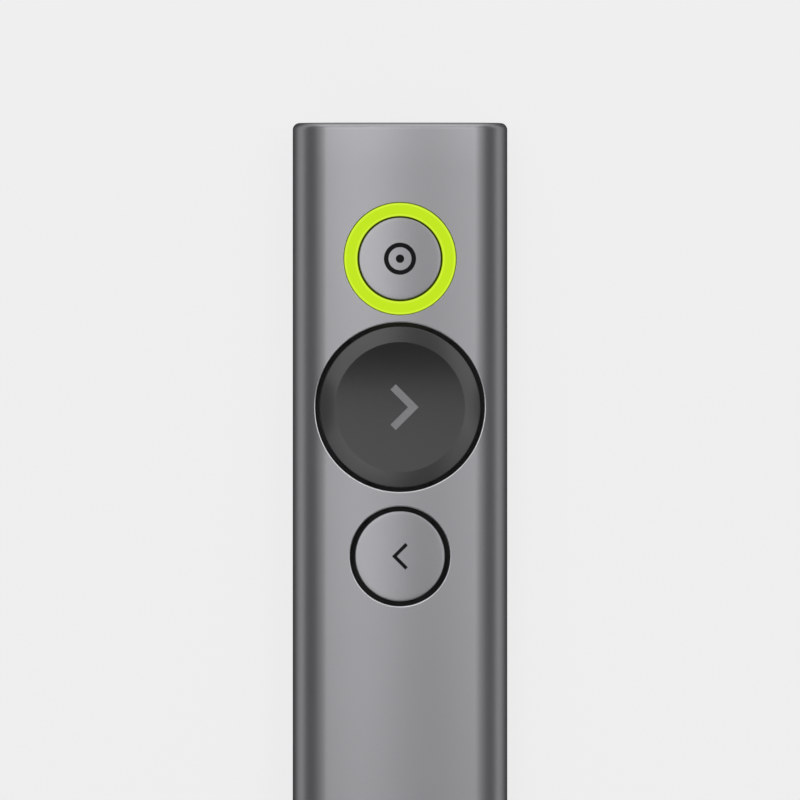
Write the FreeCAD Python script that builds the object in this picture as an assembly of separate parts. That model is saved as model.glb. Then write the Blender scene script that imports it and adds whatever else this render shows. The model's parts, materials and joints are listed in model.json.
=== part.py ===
import FreeCAD, Part
import math
import os

# A hand-held wireless presentation clicker, in millimetres.
# It lies on its flat underside: X runs across it, +Y points to its front end and +Z points up.
# The origin is the middle of the underside of the aluminium tube.

V = FreeCAD.Vector

# Aluminium tube
body_length = 131.3
body_width = 28.1
body_height = 12.1
foot_width = 16.0
crown_radius = 60.0
tube_wall = 1.2
end_round = 0.9
hole_edge_break = 0.2
end_recess = 0.35

# Fits
slide_gap = 0.1
press_gap = 0.05
board_gap = 0.15
stop_gap = 0.05
guide_gap = 0.12
stem_gap = 0.05
motor_gap = 0.03
shaft_gap = 0.04

# Buttons, each placed by its distance from the front end
pointer_from_front = 17.8
next_from_front = 37.2
back_from_front = 56.7
pointer_cap_radius = 5.4
next_cap_radius = 10.55
back_cap_radius = 5.9
next_gap = 0.5
back_gap = 0.6
cap_edge_break = 0.15
cap_edge_thickness = 1.0725
button_travel = 0.4
press_clearance = 0.2
scoop_radius = 8.5
carrier_thickness = 0.6
carrier_inset = 0.6
small_post_radius = 1.8
next_post_radius = 2.3
hook_reach = 0.8
hook_width = 2.6
hook_angles = (60, 120, 240, 300)
web_overlap = 1.0

# Marks set into the caps
mark_depth = 0.15
target_radius = 2.1
target_stroke = 0.6
target_dot_radius = 0.55
next_mark_height = 6.0
next_mark_stroke = 1.0
next_mark_tip = 2.45
back_mark_height = 3.5
back_mark_stroke = 0.46
back_mark_tip = 1.05

# Light ring round the pointer button
ring_gap = 0.14
ring_width = 1.8
ring_proud = 0.15
ring_round = 0.3
ring_depth = 0.9
ring_reach = 0.8
ring_leg_width = 2.4
ring_leg_thickness = 1.4
led_length = 1.6
led_width = 1.0
led_height = 0.6
led_gap = 0.1
leg_window_gap = 0.3

# Front cap
front_cap_depth = 2.6
cap_face_round = 0.3
peg_radius = 1.0
peg_length = 2.6
peg_spread = 12.0
peg_rise = 1.8

# Inner chassis
chassis_floor = 0.8
chassis_side = 1.7
chassis_lip = 1.0
board_ledge = 1.5
front_ledge = 4.6
rear_ledge = 5.2
boss_radius = 1.8
rib_thickness = 0.8
rib_height = 1.6
rib_opening = 6.4
rib_gap = 0.3

# Main circuit board
board_thickness = 0.8
board_corner = 2.0
board_rear_gap = 0.2
front_wall = 3.3

# Button frame
frame_thickness = 0.8
frame_margin = 2.0
frame_overhang = 0.4
frame_leg_radius = 1.6
frame_over_switch = 0.4
antenna_room = 0.4

# Screws
screw_shank_radius = 0.7
screw_head_radius = 1.35
screw_head_height = 0.6
screw_slot_width = 0.35
screw_slot_depth = 0.3
screw_tip_rise = 1.1
screw_hole_gap = 0.1
screw_inset = 2.2

# Push switches
switch_side = 4.6
switch_height = 1.2
switch_cover = 0.3
switch_floor = 0.3
stem_radius = 1.0
stem_height = 0.4
dome_radius = 1.7
dome_height = 0.45
dome_thickness = 0.08
dome_room = 0.2

# Battery and its leads
battery_width = 12.0
battery_round = 0.8
battery_pad = 0.2
battery_headroom = 0.3
battery_from_back_button = 9.5
battery_from_rear_ledge = 7.7
guard_length = 2.6
guard_thickness = 0.5
guard_width = 10.0
lead_radius = 0.35
lead_spread = 2.0
lead_run = 2.2
plug_width = 3.6
plug_length = 3.0
plug_height = 1.0
header_wall = 0.75
header_roof = 0.3
header_floor = 0.2
header_gap = 0.05
header_back = 1.3

# Vibration motor
motor_radius = 2.0
motor_length = 8.0
motor_from_port = 9.95
motor_foot = 0.2
cradle_wall = 0.9
cradle_end = 0.6
shaft_radius = 0.35
shaft_depth = 6.0
weight_radius = 1.8
weight_length = 3.2
weight_gap = 0.5
weight_hub = 0.75
motor_wire_radius = 0.2
motor_wire_spread = 1.6
motor_wire_out = 1.6
motor_wire_drop = 1.2

# Charging port
port_width = 8.94
port_height = 3.16
port_length = 7.35
port_wall = 0.3
port_back = 1.8
port_gap = 0.12
port_tongue_width = 6.7
port_tongue_thickness = 0.7
port_tongue_inset = 0.8
port_wing_length = 1.3
port_wing_width = 1.0
port_wing_thickness = 0.3
port_wing_overlap = 0.79
port_contact_pitch = 0.5
port_contact_width = 0.25
port_contact_height = 0.08
port_contact_length = 4.2
port_contact_count = 12

# Receiver that is stored in the rear end
receiver_width = 16.4
receiver_height = 7.0
receiver_corner = 3.3
receiver_length = 8.0
receiver_wall = 1.0
receiver_round = 0.4
receiver_gap = 0.2
plate_thickness = 1.0
plug_shell_width = 12.0
plug_shell_height = 4.5
plug_shell_length = 11.75
plug_shell_wall = 0.3
plug_shell_corner = 0.6
plug_shell_anchor = 2.0
plug_window_width = 2.2
plug_window_length = 2.4
plug_window_spread = 5.2
plug_window_from_tip = 5.2
tongue_width = 10.8
tongue_thickness = 1.9
tongue_inset = 0.4
contact_width = 1.0
contact_height = 0.12
contact_length = 7.5
contact_places = (-3.5, -1.0, 1.0, 3.5)
radio_board_width = 11.0
radio_board_length = 3.4
radio_board_thickness = 0.8
radio_part_side = 2.6
radio_part_height = 0.8
tab_width = 8.0
tab_thickness = 1.6
tab_length = 8.5
tab_corner = 2.7
tab_anchor_width = 11.0
tab_anchor_thickness = 1.0
tab_rib_count = 3
tab_rib_width = 0.9
tab_rib_height = 0.35
tab_rib_pitch = 1.9
tab_rib_from_end = 1.8
tab_rib_inset = 0.9

# Bay that holds the receiver
bezel_depth = 2.0
bezel_gap = 0.15
bezel_round = 0.2
slot_width = 13.0
slot_height = 6.6
slot_corner = 1.0
tip_gap = 0.7
bay_wall = 1.2
bay_core_wall = 1.7
bay_core_depth = 11.0
bay_core_skin = 1.95
bay_core_height = 4.4
ear_length = 5.4
ear_width = 4.2
ear_inset = 0.1
ear_thickness = 1.0

# Parts soldered to the main board
radio_chip_side = 6.0
radio_chip_height = 0.85
shield_width = 13.0
shield_length = 11.0
shield_height = 1.5
shield_sheet = 0.2
sensor_width = 3.0
sensor_length = 2.5
sensor_height = 0.83
power_chip_side = 3.0
power_chip_height = 0.75
power_chip_from_port = 3.0
crystal_width = 3.2
crystal_length = 2.5
crystal_height = 0.7
antenna_width = 7.0
antenna_length = 2.0
antenna_height = 1.0
passive_length = 1.0
passive_width = 0.5
passive_height = 0.35
passive_pitch = 1.6

# How shapes are drawn: a cutting shape runs over what it cuts, a long one reaches far past the part, and
# a rounding keeps to a share of the wall, the height or the run that it is on
cut_over = 1.0
far = 4 * body_length
near = 1e-3
edge_samples = 7
direction_share = 0.9
end_round_share = 0.8
corner_share = 0.49
cell_round_share = 0.4
bend_share = 0.45

# Worked out from the sizes above
half_length = body_length / 2
front_end = half_length
rear_end = -half_length
half_width = body_width / 2
half_foot = foot_width / 2
lower_radius = half_width - half_foot
side_height = lower_radius
crown_centre_z = body_height - crown_radius
crown_rise = side_height - crown_centre_z
shoulder_radius = (crown_radius ** 2 - half_width ** 2 - crown_rise ** 2) / (2 * (crown_radius - half_width))
shoulder_x = half_width - shoulder_radius
crown_angle = math.atan2(crown_rise, shoulder_x)

pointer_y = front_end - pointer_from_front
next_y = front_end - next_from_front
back_y = front_end - back_from_front
ring_inner = pointer_cap_radius + ring_gap
ring_outer = ring_inner + ring_width
pointer_hole = ring_outer + press_gap
next_hole = next_cap_radius + next_gap
back_hole = back_cap_radius + back_gap

board_half = half_width - tube_wall - slide_gap - chassis_side - board_gap


def top_height(x, inset=0.0):
    """Height of the tube's top surface at a distance x from its middle, drawn in by inset."""
    if abs(x) <= (crown_radius - inset) * math.cos(crown_angle):
        return crown_centre_z + math.sqrt((crown_radius - inset) ** 2 - x ** 2)
    across = abs(x) - shoulder_x
    return side_height + math.sqrt((shoulder_radius - inset) ** 2 - across ** 2)


# Heights, worked out downwards from the caps to the board, with the battery in the room below it
carrier_top = top_height(next_cap_radius) - cap_edge_thickness
carrier_under = carrier_top - carrier_thickness
frame_top = carrier_under - button_travel - press_clearance
frame_under = frame_top - frame_thickness
switch_top = frame_under - frame_over_switch
stem_top = switch_top + stem_height
board_top = switch_top - switch_height
board_under = board_top - board_thickness
board_middle = (board_under + board_top) / 2
floor_top = tube_wall + slide_gap + chassis_floor
battery_under = floor_top + battery_pad
battery_top = board_under - battery_headroom
screw_tip = floor_top + screw_tip_rise
ring_under = top_height(0, tube_wall) - ring_depth
receiver_middle = body_height / 2

# Places along the tube

front_cap_face = front_end - end_recess
front_cap_inner = front_cap_face - front_cap_depth
chassis_front = front_cap_inner
board_front = chassis_front - front_wall - board_gap

receiver_rear = rear_end + end_recess
receiver_front = receiver_rear + receiver_length
plug_tip = receiver_front + plug_shell_length
port_face = plug_tip + tip_gap
bezel_front = receiver_rear + bezel_depth
bay_front = port_face + bay_wall
chassis_rear = bay_front
board_rear = bay_front + board_rear_gap
port_end = port_face + port_length

screw_x = board_half - screw_inset
front_screw_y = board_front - screw_inset
middle_screw_y = back_y - back_hole - screw_inset
rear_screw_y = board_rear + ear_length / 2
ledge_rear = board_rear + rear_ledge
ledge_front = board_front - front_ledge
battery_front = back_y - battery_from_back_button
battery_rear = ledge_rear + battery_from_rear_ledge
lead_height = battery_under + guard_thickness + lead_radius
lead_start = battery_front + guard_length
plug_rear = lead_start + 3 * lead_run
plug_middle_z = board_under - header_roof - plug_height / 2
motor_rear = port_end + motor_from_port
motor_front = motor_rear + motor_length
motor_z = board_top + motor_foot + motor_radius
antenna_y = board_front - antenna_length


def block(x0, x1, y0, y1, z0, z1):
    """A box between two corners."""
    return Part.makeBox(x1 - x0, y1 - y0, z1 - z0, V(x0, y0, z0))


def upright(radius, x, y, z0, z1):
    """A vertical cylinder."""
    return Part.makeCylinder(radius, z1 - z0, V(x, y, z0), V(0, 0, 1))


def along_y(radius, x, z, y0, y1):
    """A cylinder whose axis runs along the tube."""
    return Part.makeCylinder(radius, y1 - y0, V(x, y0, z), V(0, 1, 0))


def edges_along(solid, direction):
    """The straight edges that run along a direction."""
    return [e for e in solid.Edges if abs(e.tangentAt(e.FirstParameter).dot(direction)) > direction_share]


def rounded_bar(width, height, corner, y0, y1, z):
    """A bar along Y, centred on x = 0 and on z, with its four long edges rounded."""
    bar = block(-width / 2, width / 2, y0, y1, z - height / 2, z + height / 2)
    return bar.makeFillet(min(corner, corner_share * height), edges_along(bar, V(0, 1, 0)))


def fused(shapes):
    """One solid out of several that overlap or touch."""
    return shapes[0].multiFuse(shapes[1:]).removeSplitter()


def group(shapes):
    """Separate solids kept together in one sub-part."""
    return Part.makeCompound(shapes)


def body_section(inset):
    """The tube's cross-section in the plane y = 0, drawn in by inset, as one closed outline."""
    lower = lower_radius - inset
    shoulder = shoulder_radius - inset
    crown = crown_radius - inset
    half = math.pi / 2
    arcs = [
        (half_foot, side_height, lower, -half, 0),
        (shoulder_x, side_height, shoulder, 0, crown_angle),
        (0, crown_centre_z, crown, crown_angle, math.pi - crown_angle),
        (-shoulder_x, side_height, shoulder, math.pi - crown_angle, math.pi),
        (-half_foot, side_height, lower, math.pi, 3 * half),
    ]
    edges = []
    for x, z, radius, start, end in arcs:
        angles = (start, (start + end) / 2, end)
        points = [V(x + radius * math.cos(a), 0, z + radius * math.sin(a)) for a in angles]
        edges.append(Part.Arc(*points).toShape())
    edges.append(Part.makeLine(V(-half_foot, 0, inset), V(half_foot, 0, inset)))
    return Part.Wire(Part.__sortEdges__(edges))


def body_slice(inset, y0, y1):
    """A solid length of the tube's shape, drawn in by inset."""
    face = Part.Face(body_section(inset))
    face.translate(V(0, y0, 0))
    return face.extrude(V(0, y1 - y0, 0))


def end_edges(solid, y):
    """The edges that lie in an end face."""
    return [e for e in solid.Edges if all(abs(p.y - y) < near for p in e.discretize(edge_samples))]


def rim_edges(solid, y, radius, proud=0.0):
    """The edges on the top surface that run round a vertical hole or cap."""
    found = []
    for edge in solid.Edges:
        points = edge.discretize(edge_samples)
        round_it = all(abs(math.hypot(p.x, p.y - y) - radius) < near for p in points)
        if round_it and all(abs(p.z - top_height(p.x, -proud)) < near for p in points):
            found.append(edge)
    return found


def prism(points, z0, z1):
    """A flat outline in X and Y raised from z0 to z1."""
    corners = [V(x, y, z0) for x, y in points]
    face = Part.Face(Part.makePolygon(corners + corners[:1]))
    return face.extrude(V(0, 0, z1 - z0))


def lead(points, radius):
    """A wire along straight runs that are joined by tangent arcs."""
    edges = []
    here = points[0]
    radii = []
    for before, corner, after in zip(points, points[1:], points[2:]):
        into = (corner - before).normalize()
        out = (after - corner).normalize()
        half_turn = into.getAngle(out) / 2
        if half_turn < near:
            continue
        short = min((corner - before).Length, (after - corner).Length)
        back = bend_share * short
        start = corner - into * back
        end = corner + out * back
        bend = back / math.tan(half_turn)
        inward = (out - into).normalize()
        middle = corner + inward * (bend / math.cos(half_turn) - bend)
        edges.append(Part.LineSegment(here, start).toShape())
        edges.append(Part.Arc(start, middle, end).toShape())
        radii.append(bend)
        here = end
    edges.append(Part.LineSegment(here, points[-1]).toShape())
    path = Part.Wire(edges)
    ring = Part.Wire(Part.makeCircle(radius, points[0], points[1] - points[0]))
    solid = path.makePipeShell([ring], True, False)
    expected = math.pi * radius ** 2 * path.Length
    print("lead bend radii", [round(r, 2) for r in radii], "volume share", round(solid.Volume / expected, 4))
    return solid


def housing_tube():
    """The seamless aluminium tube with its three button holes."""
    bar = body_slice(0, rear_end, front_end)
    for end in (rear_end, front_end):
        bar = bar.makeFillet(min(end_round, end_round_share * tube_wall), end_edges(bar, end))
    tube = bar.cut(body_slice(tube_wall, rear_end - tube_wall, front_end + tube_wall))
    for y, radius in ((pointer_y, pointer_hole), (next_y, next_hole), (back_y, back_hole)):
        tube = tube.cut(upright(radius, 0, y, side_height, body_height + tube_wall))
    for y, radius in ((next_y, next_hole), (back_y, back_hole)):
        tube = tube.makeChamfer(hole_edge_break, rim_edges(tube, y, radius))
    return tube


def front_cap():
    """The plastic plug of the front end, pressed in and pegged to the chassis."""
    plug = body_slice(tube_wall + press_gap, front_cap_inner, front_cap_face)
    plug = plug.makeFillet(cap_face_round, end_edges(plug, front_cap_face))
    parts = [plug]
    for side in (-1, 1):
        x = side * peg_spread / 2
        peg_tip = front_cap_inner - peg_length
        parts.append(along_y(peg_radius, x, floor_top + peg_rise, peg_tip, front_cap_inner + cut_over))
    return fused(parts)


def rear_bezel():
    """The plastic collar of the rear end, with the opening for the receiver."""
    plug = body_slice(tube_wall + press_gap, receiver_rear, bezel_front)
    plug = plug.makeFillet(bezel_round, end_edges(plug, receiver_rear))
    width = receiver_width + 2 * bezel_gap
    height = receiver_height + 2 * bezel_gap
    corner = receiver_corner + bezel_gap
    return plug.cut(rounded_bar(width, height, corner, rear_end, bezel_front + cut_over, receiver_middle))


def inner_chassis():
    """The plastic tray that slides into the tube and carries the battery and the board."""
    outer = body_slice(tube_wall + slide_gap, chassis_rear, chassis_front)
    tray = outer.common(block(-far, far, chassis_rear, chassis_front, 0, board_top + chassis_lip))
    room = board_half + board_gap
    rear = chassis_rear - cut_over
    tray = tray.cut(block(-room, room, rear, board_front + board_gap, board_under, body_height))
    low_half = board_half - board_ledge
    tray = tray.cut(block(-low_half, low_half, ledge_rear, ledge_front, floor_top, body_height))
    notch = port_width / 2 + port_gap
    notch_floor = board_middle - port_height / 2 - port_gap
    tray = tray.cut(block(-notch, notch, rear, port_end + port_gap, notch_floor, body_height))
    parts = [tray]
    for y in (front_screw_y, middle_screw_y, rear_screw_y):
        for side in (-1, 1):
            parts.append(upright(boss_radius, side * screw_x, y, floor_top, board_under))
    for y in (battery_rear - rib_gap - rib_thickness, lead_start + rib_gap):
        for side in (-1, 1):
            x0, x1 = sorted((side * rib_opening / 2, side * low_half))
            parts.append(block(x0, x1, y, y + rib_thickness, floor_top, floor_top + rib_height))
    tray = fused(parts)
    for y in (front_screw_y, middle_screw_y, rear_screw_y):
        for side in (-1, 1):
            tray = tray.cut(upright(screw_shank_radius, side * screw_x, y, screw_tip, board_under))
    for side in (-1, 1):
        x, z = side * peg_spread / 2, floor_top + peg_rise
        tray = tray.cut(along_y(peg_radius + press_gap, x, z, chassis_front - peg_length, chassis_front))
    return tray


def receiver_bay():
    """The plastic sleeve behind the rear collar: the receiver's pocket, and the port in its end wall."""
    outer = body_slice(tube_wall + slide_gap, bezel_front, bay_front)
    width = receiver_width + 2 * receiver_gap
    height = receiver_height + 2 * receiver_gap
    pocket_end = receiver_front + receiver_gap
    rear = bezel_front - cut_over
    pocket = rounded_bar(width, height, receiver_corner + receiver_gap, rear, pocket_end, receiver_middle)
    slot = rounded_bar(slot_width, slot_height, slot_corner, rear, port_face, receiver_middle)
    port_room = (port_width + 2 * port_gap, port_height + 2 * port_gap, port_height / 2)
    port = rounded_bar(*port_room, port_face - cut_over, bay_front + cut_over, board_middle)
    bay = outer.cut(pocket).cut(slot).cut(port)
    core_inner = slot_width / 2 + bay_core_wall
    core_outer = half_width - tube_wall - slide_gap - bay_core_skin
    for side in (-1, 1):
        x0, x1 = sorted((side * core_inner, side * core_outer))
        z0 = receiver_middle - bay_core_height / 2
        z1 = receiver_middle + bay_core_height / 2
        bay = bay.cut(block(x0, x1, bay_front - bay_core_depth, bay_front, z0, z1))
    parts = [bay]
    for side in (-1, 1):
        inner = min(slot_width / 2 + ear_inset, screw_x - ear_width / 2)
        x0, x1 = sorted((side * inner, side * (screw_x + ear_width / 2)))
        y0, y1 = bay_front - bay_wall / 2, bay_front + ear_length
        parts.append(block(x0, x1, y0, y1, board_top, board_top + ear_thickness))
    bay = fused(parts)
    for side in (-1, 1):
        radius = screw_shank_radius + screw_hole_gap
        top = board_top + ear_thickness + cut_over
        bay = bay.cut(upright(radius, side * screw_x, rear_screw_y, board_top - cut_over, top))
    return bay


def button_frame():
    """The plastic plate over the board that guides the three buttons, on four screwed legs."""
    rear = middle_screw_y - frame_margin
    front = front_screw_y + frame_margin
    half = board_half + frame_overhang
    plate = block(-half, half, rear, front, frame_under, frame_top)
    parts = [plate.common(body_slice(tube_wall + slide_gap, rear, front))]
    places = [(side * screw_x, y) for side in (-1, 1) for y in (middle_screw_y, front_screw_y)]
    for x, y in places:
        parts.append(upright(frame_leg_radius, x, y, board_top, frame_top))
    plate = fused(parts)
    for x, y in places:
        radius = screw_shank_radius + screw_hole_gap
        plate = plate.cut(upright(radius, x, y, board_top - cut_over, frame_top + cut_over))
    guides = [(pointer_y, small_post_radius), (next_y, next_post_radius), (back_y, small_post_radius)]
    for y, radius in guides:
        plate = plate.cut(upright(radius + guide_gap, 0, y, frame_under - cut_over, frame_top + cut_over))
    for side in (-1, 1):
        plate = plate.cut(ring_leg(side, leg_window_gap, frame_under - cut_over))
    notch = antenna_width / 2 + antenna_room
    notch_rear = antenna_y - antenna_length / 2 - antenna_room
    return plate.cut(block(-notch, notch, notch_rear, front + cut_over, board_top, frame_top + cut_over))


def ring_leg(side, margin, z0):
    """A light-guiding leg of the pointer ring, or with a margin the window that it passes through."""
    middle = side * (ring_inner + ring_outer) / 2
    half_thick = ring_leg_thickness / 2 + margin
    half_wide = ring_leg_width / 2 + margin
    y0, y1 = pointer_y - half_wide, pointer_y + half_wide
    return block(middle - half_thick, middle + half_thick, y0, y1, z0, ring_under + press_gap)


def pointer_light_ring():
    """The lime light ring: its collar, the flange behind the tube's wall, and two legs down to the lamps."""
    y0, y1 = pointer_y - pointer_from_front, pointer_y + pointer_from_front
    collar = upright(ring_outer, 0, pointer_y, ring_under, body_height + cut_over)
    collar = collar.common(body_slice(-ring_proud, y0, y1))
    collar = collar.cut(upright(ring_inner, 0, pointer_y, 0, body_height + cut_over))
    for radius in (ring_outer, ring_inner):
        collar = collar.makeFillet(ring_round, rim_edges(collar, pointer_y, radius, ring_proud))
    flange = upright(pointer_hole + ring_reach, 0, pointer_y, ring_under, body_height)
    flange = flange.common(body_slice(tube_wall + press_gap, y0, y1))
    flange = flange.cut(upright(ring_inner, 0, pointer_y, 0, body_height + cut_over))
    legs = [ring_leg(side, 0, board_top + led_height + led_gap) for side in (-1, 1)]
    return fused([collar, flange] + legs)


def cap_blank(y, radius):
    """A button cap that is flush with the tube's top surface, before its scoop and mark."""
    column = upright(radius, 0, y, carrier_top, body_height + cut_over)
    cap = column.common(body_slice(0, y - 2 * radius, y + 2 * radius))
    return cap.makeChamfer(cap_edge_break, rim_edges(cap, y, radius))


def next_cap_blank():
    """The large cap, with a scoop across it as round as the crown, so that their meeting line is a circle."""
    scoop_low = top_height(scoop_radius)
    axis_start = V(-far, next_y, scoop_low + crown_radius)
    scoop = Part.makeCylinder(crown_radius, 2 * far, axis_start, V(1, 0, 0))
    return cap_blank(next_y, next_cap_radius).cut(scoop)


def chevron(y, tip, height, stroke, direction):
    """The outline of an arrow head with arms at 45 degrees, pointing along +X or -X."""
    reach = height / 2
    step = stroke / math.sqrt(2)
    half = [(tip, 0), (tip - reach, reach), (tip - reach - step, reach - step), (tip - 2 * step, 0)]
    lower = [(tip - reach - step, step - reach), (tip - reach, -reach)]
    return [(direction * x, y + up) for x, up in half + lower]


def target_tool(y, z0):
    """A ring and a dot, raised from z0 through the cap's surface."""
    top = body_height + cut_over
    ring = upright(target_radius, 0, y, z0, top).cut(upright(target_radius - target_stroke, 0, y, z0, top))
    return group([ring, upright(target_dot_radius, 0, y, z0, top)])


def pointer_tool():
    """What cuts the target mark."""
    return target_tool(pointer_y, top_height(target_radius) - mark_depth)


def next_tool():
    """What cuts the arrow head of the next button."""
    outline = chevron(next_y, next_mark_tip, next_mark_height, next_mark_stroke, 1)
    return prism(outline, top_height(scoop_radius) - mark_depth, body_height + cut_over)


def back_tool():
    """What cuts the arrow head of the back button."""
    outline = chevron(back_y, back_mark_tip, back_mark_height, back_mark_stroke, -1)
    return prism(outline, top_height(back_mark_height / 2) - mark_depth, body_height + cut_over)


def solids_of(shape):
    """The solids in a shape, alone or together."""
    return shape.Solids[0] if len(shape.Solids) == 1 else group(shape.Solids)


def carrier(y, cap_radius, hole, post_radius, ceiling, hooked):
    """The plastic plunger under a cap: a disc, a post down to the switch, and arms that hold it in."""
    disc_radius = cap_radius - carrier_inset
    parts = [
        upright(disc_radius, 0, y, carrier_under, carrier_top),
        upright(post_radius, 0, y, stem_top, carrier_top),
    ]
    arm_end = hole + hook_reach
    half = hook_width / 2
    web_top = min(carrier_top, ceiling.BoundBox.ZMax)
    for angle in hook_angles:
        pieces = [block(disc_radius - web_overlap, arm_end, -half, half, carrier_under, web_top)]
        if hooked:
            pieces.append(block(hole + 2 * stop_gap, arm_end, -half, half, carrier_under, body_height))
        for piece in pieces:
            piece.rotate(V(0, 0, 0), V(0, 0, 1), angle)
            piece.translate(V(0, y, 0))
            parts.append(piece.common(ceiling))
    return fused(parts)


def wall_ceiling(y):
    """The space that a button's hooks may fill, up to the stop against the tube's inner wall."""
    return body_slice(tube_wall + stop_gap, y - body_width, y + body_width)


def ring_ceiling(y):
    """The space that the pointer button's arms may fill, up to the stop against the light ring."""
    return block(-far, far, y - body_width, y + body_width, 0, ring_under - stop_gap)


def switch_base(y):
    """The body of a push switch, with its dome's chamber and the bore of its stem."""
    half = switch_side / 2
    base = block(-half, half, y - half, y + half, board_top, switch_top)
    chamber_top = switch_top - switch_cover
    base = base.cut(upright(dome_radius + dome_room, 0, y, board_top + switch_floor, chamber_top))
    return base.cut(upright(stem_radius + stem_gap, 0, y, chamber_top - near, switch_top))


def dome_apex():
    """Height of the top of a resting switch dome."""
    return board_top + switch_floor + dome_height


def switch_stem(y):
    """The stem that a button's post rests on."""
    return upright(stem_radius, 0, y, dome_apex() + stem_gap, stem_top)


def switch_dome(y):
    """The domed steel disc that clicks and springs the stem back."""
    floor = board_top + switch_floor
    outer = (dome_radius ** 2 + dome_height ** 2) / (2 * dome_height)
    centre = V(0, y, floor + dome_height - outer)
    shell = Part.makeSphere(outer, centre).cut(Part.makeSphere(outer - dome_thickness, centre))
    return shell.common(upright(dome_radius, 0, y, floor, floor + 2 * dome_height))


def main_board():
    """The long circuit board, notched for the port and holed for the screws."""
    board = block(-board_half, board_half, board_rear, board_front, board_under, board_top)
    corners = [e for e in edges_along(board, V(0, 0, 1)) if e.CenterOfMass.y > board_front - near]
    board = board.makeFillet(board_corner, corners)
    notch = port_width / 2 + port_gap
    board = board.cut(block(-notch, notch, board_rear - cut_over, port_end + port_gap, 0, body_height))
    for y in (front_screw_y, middle_screw_y, rear_screw_y):
        for side in (-1, 1):
            board = board.cut(upright(screw_shank_radius + screw_hole_gap, side * screw_x, y, 0, body_height))
    return board


def under_board(x, y, width, length, height):
    """A box-shaped part soldered to the underside of the board."""
    x0, y0 = x - width / 2, y - length / 2
    return block(x0, x0 + width, y0, y0 + length, board_under - height, board_under)


def on_board(x, y, width, length, height):
    """A box-shaped part soldered to the top of the board."""
    x0, y0 = x - width / 2, y - length / 2
    return block(x0, x0 + width, y0, y0 + length, board_top, board_top + height)


def radio_shield():
    """The folded steel can over the radio's parts."""
    can = under_board(0, pointer_y, shield_width, shield_length, shield_height)
    width, length = shield_width - 2 * shield_sheet, shield_length - 2 * shield_sheet
    return can.cut(under_board(0, pointer_y, width, length, shield_height - shield_sheet))


def ring_leds():
    """The two lamps under the light ring's legs."""
    x = (ring_inner + ring_outer) / 2
    return group([on_board(side * x, pointer_y, led_width, led_length, led_height) for side in (-1, 1)])


def board_passives():
    """Rows of small resistors and capacitors round the radio chip and beside the switches."""
    chips = []
    row_half = radio_chip_side / 2 + passive_pitch
    for step in range(-2, 3):
        for side in (-1, 1):
            x, y = step * passive_pitch, next_y + side * row_half
            chips.append(under_board(x, y, passive_width, passive_length, passive_height))
    beside = switch_side / 2 + passive_pitch
    for y in (next_y, back_y):
        for step in range(-1, 2):
            for side in (-1, 1):
                spot = (side * beside, y + step * passive_pitch)
                chips.append(on_board(*spot, passive_length, passive_width, passive_height))
    return group(chips)


def battery_cell():
    """The lithium pouch cell."""
    half = battery_width / 2
    cell = block(-half, half, battery_rear, battery_front, battery_under, battery_top)
    corner = min(battery_round, cell_round_share * (battery_top - battery_under))
    return cell.makeFillet(corner, edges_along(cell, V(0, 1, 0)))


def battery_guard_board():
    """The cell's small protection board, from which its leads come."""
    half = guard_width / 2
    return block(-half, half, battery_front, lead_start, battery_under, battery_under + guard_thickness)


def battery_lead(side):
    """One lead from the protection board up to the plug."""
    x = side * lead_spread / 2
    solder = lead_start - lead_run / 2
    points = [
        V(x, solder, lead_height),
        V(x, lead_start + lead_run / 2, lead_height),
        V(x, plug_rear - lead_run, plug_middle_z),
        V(x, plug_rear, plug_middle_z),
    ]
    return lead(points, lead_radius)


def battery_plug():
    """The plug on the battery's leads."""
    half = plug_width / 2
    z0, z1 = plug_middle_z - plug_height / 2, plug_middle_z + plug_height / 2
    return block(-half, half, plug_rear, plug_rear + plug_length, z0, z1)


def battery_header():
    """The socket on the board that takes the battery's plug."""
    half = plug_width / 2 + header_wall
    z0 = plug_middle_z - plug_height / 2 - header_floor
    y0 = plug_rear + plug_length / 2
    y1 = plug_rear + plug_length + header_back
    room_half = plug_width / 2 + header_gap
    room_end = plug_rear + plug_length + header_gap
    room_low = plug_middle_z - plug_height / 2 - header_gap
    room_high = plug_middle_z + plug_height / 2 + header_gap
    body = block(-half, half, y0, y1, z0, board_under)
    return body.cut(block(-room_half, room_half, y0, room_end, room_low, room_high))


def motor_can():
    """The steel can of the vibration motor, bored for its shaft."""
    can = along_y(motor_radius, 0, motor_z, motor_rear, motor_front)
    return can.cut(along_y(shaft_radius + shaft_gap, 0, motor_z, motor_front - shaft_depth, motor_front))


def motor_shaft():
    """The motor's shaft, out to the far end of its weight."""
    inner_end = motor_front - shaft_depth + shaft_gap
    return along_y(shaft_radius, 0, motor_z, inner_end, motor_front + weight_gap + weight_length)


def motor_weight():
    """The half-round weight that hangs below the shaft and shakes the clicker as it spins."""
    y0 = motor_front + weight_gap
    y1 = y0 + weight_length
    weight = along_y(weight_radius, 0, motor_z, y0, y1)
    weight = weight.cut(block(-far, far, y0 - cut_over, y1 + cut_over, motor_z, body_height + weight_radius))
    weight = fused([weight, along_y(weight_hub, 0, motor_z, y0, y1)])
    return weight.cut(along_y(shaft_radius, 0, motor_z, y0 - cut_over, y1 + cut_over))


def motor_cradle():
    """The rubber cradle that holds the motor down on the board."""
    half = motor_radius + cradle_wall
    y0, y1 = motor_rear + cradle_end, motor_front - cradle_end
    cradle = block(-half, half, y0, y1, board_top, motor_z)
    return cradle.cut(along_y(motor_radius + motor_gap, 0, motor_z, y0 - cut_over, y1 + cut_over))


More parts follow.
